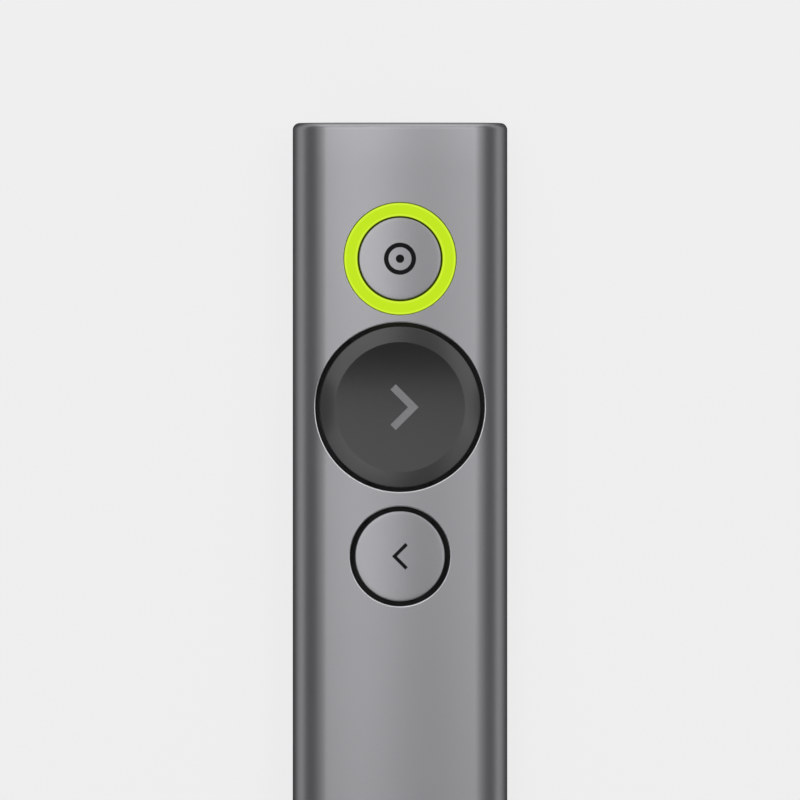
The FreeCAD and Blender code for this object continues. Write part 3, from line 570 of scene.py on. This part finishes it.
def keep_skin(piece, uncut):
    """Gives the points that still lie on the crown the shading of the same surface before it was cut."""
    skin = piece.vertex_groups.new(name="skin")
    spots = [v.index for v in piece.data.vertices if abs(v.co.z - crown_height(v.co.x)) < ON_CROWN]
    skin.add(spots, 1.0, "REPLACE")
    only(piece)
    bpy.ops.object.modifier_add(type="DATA_TRANSFER")
    modifier = piece.modifiers[-1]
    modifier.object = uncut
    modifier.use_loop_data = True
    modifier.data_types_loops = {"CUSTOM_NORMAL"}
    modifier.loop_mapping = "POLYINTERP_NEAREST"
    modifier.vertex_group = skin.name
    bpy.ops.object.modifier_apply(modifier=modifier.name)
    piece.vertex_groups.clear()
    bpy.data.objects.remove(uncut, do_unlink=True)


def crease_ring(piece, middle, radius):
    """Keeps the edges of one circle crisp."""
    def off_circle(index):
        spot = piece.data.vertices[index].co
        return abs(math.hypot(spot.x, spot.y - middle.y) - radius)

    for edge in piece.data.edges:
        if max(off_circle(index) for index in edge.vertices) < ON_CIRCLE:
            edge.use_edge_sharp = True


def coat(piece, *materials):
    """Gives a piece its finishes."""
    piece.data.materials.clear()
    for material in materials:
        piece.data.materials.append(material)


def deliver(piece, body, node):
    """Puts a finished piece on its body, in its node's place."""
    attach(piece, body)
    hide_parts(node)


def refined(node, name, bevel=0.0):
    """A copy of a solid's surface with its triangles merged and its curved faces smooth."""
    piece = frame["nodes"][node].copy()
    piece.data = piece.data.copy()
    piece.name = name
    piece.parent = None
    bpy.context.collection.objects.link(piece)
    only(piece)
    bpy.ops.object.mode_set(mode="EDIT")
    bpy.ops.mesh.select_all(action="SELECT")
    bpy.ops.mesh.remove_doubles(threshold=SAME_POINT)
    bpy.ops.mesh.dissolve_limited(angle_limit=math.radians(FLAT_ANGLE))
    bpy.ops.object.mode_set(mode="OBJECT")
    if bevel:
        bpy.ops.object.modifier_add(type="BEVEL")
        modifier = piece.modifiers[-1]
        modifier.width = bevel
        modifier.segments = BEVEL_STEPS
        modifier.limit_method = "ANGLE"
        modifier.angle_limit = math.radians(SHARP_ANGLE)
        bpy.ops.object.modifier_apply(modifier=modifier.name)
    smooth(piece)
    return piece


def middle_of(node):
    """The middle of a node, on its top surface."""
    low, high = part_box(node)
    return Vector(((low.x + high.x) / 2, (low.y + high.y) / 2, high.z))


def radius_of(node):
    """Half of a round node's length."""
    low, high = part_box(node)
    return (high.y - low.y) / 2


class Stage(Operator):
    """Floor, lamps and camera"""

    bl_idname = "clicker.stage"
    bl_label = "Stage"

    # The floor lies just below the foot. The camera and mirrors see a share of it evenly lit.
    floor_size = 6.0
    floor_drop = 0.05 * MM
    plain_level = 1.05
    plain_to_camera = 0.88
    plain_to_mirrors = 0.5

    # A deep shadow painted on the floor for mirror rays, which the clicker's sides mirror: where it fades,
    # where it ends, its share and its tone
    painted_shadow_near = 3 * MM
    painted_shadow_far = 24 * MM
    painted_shadow_depth = 0.95
    painted_shadow_tone = 0.05

    # Overhead panels side by side: name, left edge, right edge and share of the overhead brightness.
    # Their rear and front edges are measured from the camera's place.
    panel_height = 0.9
    panel_rear = -0.1
    panel_front = 1.05
    panels = (
        ("left_wing", -0.95, -0.36, 0.35),
        ("left_panel", -0.36, -0.01, 1.27),
        ("middle_panel", -0.01, 0.22, 0.3),
        ("right_panel", 0.22, 0.53, 1.2),
        ("right_wing", 0.53, 1.1, 0.4),
    )

    # Panels that lean towards the clicker from beyond both ends
    end_distance = 1.5
    end_height = 0.45
    end_lean = 73
    end_size = (1.8, 0.9)

    # The camera looks straight down
    frame_width = 104.56 * MM
    front_in_view = 36.27 * MM
    camera_height = 3.0
    camera_reach = 20
    sensor = 36.0

    def execute(self, context):
        self.make_floor()
        self.make_room()
        self.make_lamps(context.scene.clicker_light)
        self.make_camera(context.scene)
        return {"FINISHED"}

    def make_floor(self):
        """A pale floor that keeps the clicker's shadow, with a shadow painted close to the clicker for
        mirror rays.
        """
        bpy.ops.mesh.primitive_plane_add(size=self.floor_size, location=(0, 0, -self.floor_drop))
        floor = bpy.context.object
        floor.name = "floor"
        recipe = Recipe("studio_floor")
        base = tuple(colours().floor)
        path = "ShaderNodeLightPath"
        camera_ray = recipe.node(path, result="Is Camera Ray")
        mirror_ray = recipe.node(path, result="Is Glossy Ray")
        through_ray = recipe.node(path, result="Is Transmission Ray")
        lit = recipe.node("ShaderNodeBsdfDiffuse", {}, [(*base, 1)])
        plain = recipe.node("ShaderNodeEmission", {}, [(*shade(base, self.plain_level), 1), 1.0])
        share = (camera_ray + through_ray) * self.plain_to_camera + mirror_ray * self.plain_to_mirrors
        mixed = recipe.node("ShaderNodeMixShader", {}, [share, lit, plain])
        # Mirror rays see a shadow painted by place close to the clicker: a near-black floor shade mixed in,
        # not cast by the lamps.
        painted_shadow_share = self.painted_shadow_near_clicker(recipe) * mirror_ray
        dark = recipe.node("ShaderNodeBsdfDiffuse", {}, [(*shade(base, self.painted_shadow_tone), 1)])
        mixed = recipe.node("ShaderNodeMixShader", {}, [painted_shadow_share, mixed, dark])
        recipe.tree.links.new(mixed.socket, recipe.output.inputs["Surface"])
        coat(floor, recipe.material)

    def painted_shadow_near_clicker(self, recipe):
        """The painted shadow's depth close to the clicker, and nothing further off."""
        place = recipe.place()
        x = recipe.node("ShaderNodeSeparateXYZ", {}, [place], result="X")
        y = recipe.node("ShaderNodeSeparateXYZ", {}, [place], result="Y")
        sides = [abs(x) - HALF_WIDTH, abs(y) - FRONT]
        values = {
            "Value": recipe.node("ShaderNodeMath", {"operation": "MAXIMUM"}, sides),
            "From Min": self.painted_shadow_near,
            "From Max": self.painted_shadow_far,
            "To Min": self.painted_shadow_depth,
            "To Max": 0.0,
        }
        return recipe.node("ShaderNodeMapRange", {"interpolation_type": "SMOOTHSTEP"}, values)

    def make_room(self):
        """A dark room that the camera sees as pale as the floor."""
        world = bpy.data.worlds.new("room")
        bpy.context.scene.world = world
        world.use_nodes = True
        tree = world.node_tree
        tree.nodes.clear()
        light_path = tree.nodes.new("ShaderNodeLightPath")
        output = tree.nodes.new("ShaderNodeOutputWorld")
        dark = tree.nodes.new("ShaderNodeBackground")
        pale = tree.nodes.new("ShaderNodeBackground")
        mix = tree.nodes.new("ShaderNodeMixShader")
        dark.inputs["Color"].default_value = (1, 1, 1, 1)
        dark.inputs["Strength"].default_value = bpy.context.scene.clicker_light.room
        pale.inputs["Color"].default_value = (*colours().floor, 1)
        tree.links.new(light_path.outputs["Is Camera Ray"], mix.inputs[0])
        tree.links.new(dark.outputs[0], mix.inputs[1])
        tree.links.new(pale.outputs[0], mix.inputs[2])
        tree.links.new(mix.outputs[0], output.inputs["Surface"])

    def make_lamps(self, light):
        """The overhead panels, and one beyond each end."""
        middle_y = FRONT - self.front_in_view + (self.panel_rear + self.panel_front) / 2
        for name, left, right, share in self.panels:
            spot = ((left + right) / 2, middle_y, self.panel_height)
            size = (right - left, self.panel_front - self.panel_rear)
            self.add_panel(name, spot, (0, 0, 0), size, light.overhead * share)
        for name, way, level in (("front_panel", 1, light.front), ("back_panel", -1, light.back)):
            spot = (0, way * self.end_distance, self.end_height)
            turn = (-way * math.radians(self.end_lean), 0, 0)
            self.add_panel(name, spot, turn, self.end_size, level)

    def add_panel(self, name, spot, turn, size, level):
        """A soft panel of light whose face is as bright as its level."""
        bpy.ops.object.light_add(type="AREA", location=spot, rotation=turn)
        lamp = bpy.context.object
        lamp.name = name
        lamp.data.shape = "RECTANGLE"
        lamp.data.size, lamp.data.size_y = size
        lamp.data.energy = level * size[0] * size[1] * math.pi
        lamp.visible_camera = False

    def make_camera(self, scene):
        """A camera whose frame has its width at the tube's top."""
        height = TOP + self.camera_height
        bpy.ops.object.camera_add(location=(0, FRONT - self.front_in_view, height), rotation=(0, 0, 0))
        camera = bpy.context.object
        camera.data.sensor_width = self.sensor
        camera.data.lens = self.sensor * self.camera_height / self.frame_width
        camera.data.clip_end = self.camera_reach
        scene.camera = camera
        scene.view_settings.view_transform = "Standard"


class Tube(Operator):
    """Anodised tube with rounded ends and three button holes"""

    bl_idname = "clicker.tube"
    bl_label = "Tube"

    # The hole tool's lip beyond the rounded edge, its rise there, and its depth in walls
    tool_lip = 0.02 * MM
    tool_rise = 0.01 * MM
    tool_depth = 3

    # A face of the tool belongs to the rounding when its normal's rise lies between these
    least_rise = 0.05
    most_rise = 0.999

    def execute(self, context):
        size = sizes()
        tube = sleeve("tube", self.profile(size))
        join_ends()
        finish_editing()
        metal = anodised("anodised_tube", tuple(colours().metal))
        edge = bright_cut("bright_edge", tuple(colours().metal_edge))
        coat(tube, metal)
        smooth(tube)
        uncut = tube.copy()
        uncut.data = tube.data.copy()
        bpy.context.collection.objects.link(uncut)
        ring_room = size.ring_gap + size.ring_width + size.press_gap
        holes = [
            ("next_button_cap", size.next_gap, size.edge_break),
            ("back_button_cap", size.back_gap, size.edge_break),
            ("pointer_button_cap", ring_room, size.press_gap),
        ]
        for cap, gap, edge_break in holes:
            tool = self.hole_tool(middle_of(cap), radius_of(cap) + gap, edge_break, metal, edge)
            combine(tube, tool, "DIFFERENCE")
        smooth(tube)
        keep_skin(tube, uncut)
        deliver(tube, "housing", "housing_tube")
        return {"FINISHED"}

    def profile(self, size):
        """The wall as y and inset: along the outside, round the front end, back inside, round the rear."""
        count = round((FRONT - REAR) / RUN_STEP)
        start, end = REAR + size.end_round, FRONT - size.end_round
        outside = [(start + (end - start) * step / count, 0.0) for step in range(count + 1)]
        inside = [
            (FRONT, size.wall - size.inner_break),
            (FRONT - size.inner_break, size.wall),
            (REAR + size.inner_break, size.wall),
            (REAR, size.wall - size.inner_break),
        ]
        bends = []
        for step in range(1, ROUND_STEPS + 1):
            angle = math.pi / 2 * step / ROUND_STEPS
            bends.append((size.end_round * math.sin(angle), size.end_round * (1 - math.cos(angle))))
        front_bend = [(end + along, inset) for along, inset in bends]
        rear_bend = [(start - along, inset) for along, inset in reversed(bends)]
        return outside + front_bend + inside + rear_bend

    def hole_tool(self, middle, radius, edge_break, metal, edge):
        """A round tool that leaves a rounded, bright upper edge all round the hole."""
        flare = radius + edge_break
        lip = flare + self.tool_lip
        profile = [(radius, TOP - self.tool_depth * sizes().wall)]
        profile += rounding(flare, TOP, edge_break, inward=False)
        profile += [(lip, TOP + self.tool_rise), (lip, TOP + TOOL_CLEAR), (0.0, TOP + TOOL_CLEAR)]
        tool = turned("hole_tool", middle, profile)
        lay_on_crown(tool)
        coat(tool, metal, edge)
        for face in tool.data.polygons:
            rounded = self.least_rise <= abs(face.normal.z) <= self.most_rise
            face.material_index = 1 if rounded else 0
        return tool


class LightRing(Operator):
    """Lit ring round the pointer button"""

    bl_idname = "clicker.light_ring"
    bl_label = "Light ring"

    def execute(self, context):
        size = sizes()
        middle = middle_of("pointer_button_cap")
        inner = radius_of("pointer_button_cap") + size.ring_gap
        outer = inner + size.ring_width
        top = middle_of("pointer_light_ring").z
        base = top - size.ring_depth
        profile = [(outer, base)] + rounding(outer - size.ring_round, top, size.ring_round)
        profile += list(reversed(rounding(inner + size.ring_round, top, size.ring_round, inward=False)))
        profile += [(inner, base)]
        ring = turned("light_ring", middle, profile, closed=True)
        lay_on_crown(ring)
        core, edge = tuple(colours().lime), tuple(colours().lime_edge)
        coat(ring, light_guide("lime_light", middle, inner, outer, core, edge))
        smooth(ring)
        deliver(ring, "housing", "pointer_light_ring")
        return {"FINISHED"}


class Buttons(Operator):
    """Caps of the three buttons with their marks set in"""

    bl_idname = "clicker.buttons"
    bl_label = "Buttons"

    # The small caps' tone beside the tube's metal, and the large cap's beside the plain dark plastic
    metal_tone = 0.92
    plastic_tone = 0.5

    def execute(self, context):
        size = sizes()
        metal = anodised("anodised_cap", shade(colours().metal, self.metal_tone), roughness=0.29)
        ink = printed("dark_ink", tuple(colours().ink))
        for name, tool in (("pointer", self.target_tool), ("back", self.back_tool)):
            node = name + "_button_cap"
            cap = self.flush_cap(name + "_cap", node, size.cap_break)
            coat(cap, metal)
            self.set_mark(cap, tool(), name, ink, "mark_black")
            deliver(cap, name + "_button", node)
        dark = shade(colours().plastic, self.plastic_tone)
        plastic = moulded("soft_plastic", dark, roughness=0.24, gloss=0.7)
        pale = printed("grey_ink", tuple(colours().pale_ink))
        cap = self.scooped_cap()
        coat(cap, plastic)
        self.set_mark(cap, self.next_tool(), "next", pale, "mark_grey")
        crease_ring(cap, middle_of("next_button_cap"), size.scoop_radius)
        deliver(cap, "next_button", "next_button_cap")
        return {"FINISHED"}

    def flush_cap(self, name, node, edge):
        """A round cap whose top follows the tube's."""
        middle, radius, base = middle_of(node), radius_of(node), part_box(node)[0].z
        profile = [(radius, base)] + rounding(radius - edge, TOP, edge) + rings_inward(radius - edge, TOP)
        cap = turned(name, middle, profile)
        lay_on_crown(cap)
        for vertex in cap.data.vertices:
            vertex.co.z = max(vertex.co.z, base)
        return cap

    def scooped_cap(self):
        """The large cap, its middle scooped across so that the scoop ends in a circle."""
        size = sizes()
        node = "next_button_cap"
        middle, radius, base = middle_of(node), radius_of(node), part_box(node)[0].z
        profile = [(radius, base)] + rounding(radius - size.rim_break, TOP, size.rim_break)
        profile += [(size.scoop_radius, TOP)] + rings_inward(size.scoop_radius, TOP)
        cap = turned("next_cap", middle, profile)
        lay_on_crown(cap)
        scoop_middle = crown_height(size.scoop_radius) + size.crown_radius
        for vertex in cap.data.vertices:
            along = vertex.co.y - middle.y
            away = math.hypot(vertex.co.x, along)
            if away < size.scoop_radius + FINE and vertex.co.z > base + FINE:
                vertex.co.z = scoop_middle - math.sqrt(size.crown_radius ** 2 - along ** 2)
        return cap

    def set_mark(self, cap, tool, name, material, slot):
        """Splits a mark from a cap: the cap keeps its recess, and the mark lies just below the surface."""
        mark = cap.copy()
        mark.data = cap.data.copy()
        mark.name = name + "_mark"
        bpy.context.collection.objects.link(mark)
        combine(mark, tool, "INTERSECT", keep=True)
        combine(cap, tool, "DIFFERENCE")
        for vertex in mark.data.vertices:
            vertex.co.z -= sizes().mark_sink
        coat(mark, material)
        smooth(cap)
        smooth(mark)
        deliver(mark, name + "_button", name + "_button_mark")

    def ring_tool(self, middle, outer, inner, low, high):
        """A ring-shaped tool, or a plain round one where inner is nothing."""
        if inner:
            profile = [(outer, low), (outer, high), (inner, high), (inner, low)]
            return turned("mark_tool", middle, profile, closed=True)
        return turned("mark_tool", middle, [(outer, low), (outer, high), (0.0, high)])

    def target_tool(self):
        """A ring and a dot."""
        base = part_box("pointer_button_mark")[0].z
        middle = middle_of("pointer_button_mark")
        outer = radius_of("pointer_button_mark")
        top = TOP + TOOL_CLEAR
        ring = self.ring_tool(middle, outer, outer - sizes().target_stroke, base, top)
        dot = self.ring_tool(middle, sizes().target_dot, 0.0, base, top)
        only(ring, dot)
        bpy.ops.object.join()
        return ring

    def arrow_tool(self, node, stroke, direction):
        """An arrow head with arms at 45 degrees: a bar folded at the tip and given its width."""
        low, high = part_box(node)
        middle_y = (low.y + high.y) / 2
        tip = high.x if direction > 0 else low.x
        reach = radius_of(node)
        step = stroke / math.sqrt(2)
        half = [(tip, 0), (tip - direction * reach, reach)]
        half += [(tip - direction * (reach + step), reach - step), (tip - direction * 2 * step, 0)]
        lower = [(x, -up) for x, up in reversed(half[1:-1])]
        outline = half + lower
        bpy.ops.mesh.primitive_circle_add(vertices=len(outline), fill_type="NGON", enter_editmode=True)
        tool = bpy.context.object
        tool.name = "mark_tool"
        place_selected(tool, [Vector((x, middle_y + up, low.z)) for x, up in outline])
        rise = TOP + TOOL_CLEAR - low.z
        bpy.ops.mesh.extrude_region_move(TRANSFORM_OT_translate={"value": (0, 0, rise)})
        finish_editing()
        return tool

    def next_tool(self):
        """The arrow head of the large button."""
        return self.arrow_tool("next_button_mark", sizes().next_stroke, 1)

    def back_tool(self):
        """The arrow head of the back button."""
        return self.arrow_tool("back_button_mark", sizes().back_stroke, -1)


class Ends(Operator):
    """Plugs of the front and rear ends"""

    bl_idname = "clicker.ends"
    bl_label = "Ends"

    def execute(self, context):
        plastic = moulded("end_plastic", tuple(colours().plastic), roughness=0.5)
        for node, name in (("front_cap", "front_plug"), ("rear_bezel", "rear_collar")):
            piece = refined(node, name)
            coat(piece, plastic)
            deliver(piece, "housing", node)
        return {"FINISHED"}


class Receiver(Operator):
    """Stowed receiver with its plug and pull tab"""

    bl_idname = "clicker.receiver"
    bl_label = "Receiver"

    def execute(self, context):
        plastic = moulded("receiver_plastic", shade(colours().plastic, 1.1), roughness=0.4)
        rubber = rubbery("tab_rubber", (0.02, 0.02, 0.022))
        steel = brushed("plug_steel", (0.6, 0.6, 0.61), roughness=0.24, direction=(1, 0.02, 1))
        rows = [
            ("receiver_head", "dongle_head", plastic, "dark_plastic", 0.0),
            ("receiver_front_plate", "dongle_plate", plastic, "dark_plastic", 0.15 * MM),
            ("receiver_pull_tab", "dongle_tab", rubber, "rubber_black", 0.2 * MM),
            ("receiver_plug_shell", "dongle_plug", steel, "steel", 0.04 * MM),
        ]
        for node, name, material, slot, bevel in rows:
            piece = refined(node, name, bevel)
            coat(piece, material)
            deliver(piece, "receiver", node)
        return {"FINISHED"}


class Inside(Operator):
    """Finishes of the pieces inside that keep the solid model's shape"""

    bl_idname = "clicker.inside"
    bl_label = "Inside"

    def execute(self, context):
        finishes = {
            "frame_plastic": moulded("chassis_plastic", (0.03, 0.03, 0.033), roughness=0.55),
            "carrier_plastic": moulded("plunger_plastic", (0.012, 0.012, 0.013), roughness=0.6),
            "board_mask": solder_mask("board_lacquer", (0.012, 0.06, 0.028)),
            "chip_black": moulded("chip_resin", (0.02, 0.02, 0.022), roughness=0.6),
            "passive_tan": moulded("fired_tan", (0.42, 0.3, 0.2), roughness=0.4),
            "lamp_white": moulded("lamp_resin", (0.85, 0.86, 0.8), roughness=0.25),
            "antenna_white": moulded("fired_white", (0.75, 0.76, 0.72), roughness=0.35),
            "steel": brushed("sheet_steel", (0.55, 0.55, 0.56)),
            "screw_steel": brushed("black_screw", (0.1, 0.1, 0.11), roughness=0.4),
            "contact_gold": brushed("gold_contact", (0.83, 0.6, 0.2), roughness=0.22),
            "weight_brass": brushed("sintered_weight", (0.5, 0.42, 0.26), roughness=0.4),
            "pouch_foil": crinkled_foil("pouch_foil", (0.6, 0.61, 0.62)),
            "foam_black": rubbery("pad_foam", (0.03, 0.03, 0.03), roughness=0.85),
            "rubber_black": rubbery("cradle_rubber", (0.02, 0.02, 0.02)),
            "lead_red": rubbery("red_silicone", (0.5, 0.02, 0.015), roughness=0.45),
            "lead_black": rubbery("black_silicone", (0.015, 0.015, 0.015), roughness=0.45),
            "connector_white": moulded("nylon", (0.7, 0.68, 0.6), roughness=0.45),
            "tongue_black": moulded("tongue_resin", (0.015, 0.015, 0.016), roughness=0.4),
        }
        for row in frame["record"]["subparts"]:
            node = frame["nodes"][row["node"]]
            finish = finishes.get(row["material_slot"])
            if finish and not node.hide_render:
                for place in node.material_slots:
                    place.material = finish
        return {"FINISHED"}


class ClickerPanel(Panel):
    """Sizes, colours and steps of the clicker"""

    bl_idname = "VIEW3D_PT_clicker"
    bl_label = "Presentation Clicker"
    bl_space_type = "VIEW_3D"
    bl_region_type = "UI"
    bl_category = "Clicker"

    def draw(self, context):
        """One button for each step, then the settings."""
        scene = context.scene
        for step in STEPS:
            self.layout.operator(step.bl_idname)
        for group in (scene.clicker_sizes, scene.clicker_colours, scene.clicker_light):
            for name in group.bl_rna.properties.keys():
                if name not in ("rna_type", "name"):
                    self.layout.prop(group, name)


STEPS = (Stage, Tube, LightRing, Buttons, Ends, Receiver, Inside)
GROUPS = (ClickerSizes, ClickerColours, ClickerLight)


def register():
    """Adds the panel, the steps and the scene's settings."""
    for item in GROUPS + STEPS + (ClickerPanel,):
        bpy.utils.register_class(item)
    bpy.types.Scene.clicker_sizes = PointerProperty(type=ClickerSizes)
    bpy.types.Scene.clicker_colours = PointerProperty(type=ClickerColours)
    bpy.types.Scene.clicker_light = PointerProperty(type=ClickerLight)


def unregister():
    """Takes them away again."""
    del bpy.types.Scene.clicker_light
    del bpy.types.Scene.clicker_colours
    del bpy.types.Scene.clicker_sizes
    for item in reversed(GROUPS + STEPS + (ClickerPanel,)):
        bpy.utils.unregister_class(item)


def main():
    """Builds the clicker and its stage."""
    register()
    bpy.ops.clicker.stage()
    bpy.ops.clicker.tube()
    bpy.ops.clicker.light_ring()
    bpy.ops.clicker.buttons()
    bpy.ops.clicker.ends()
    bpy.ops.clicker.receiver()
    bpy.ops.clicker.inside()


if __name__ == "__main__":
    main()
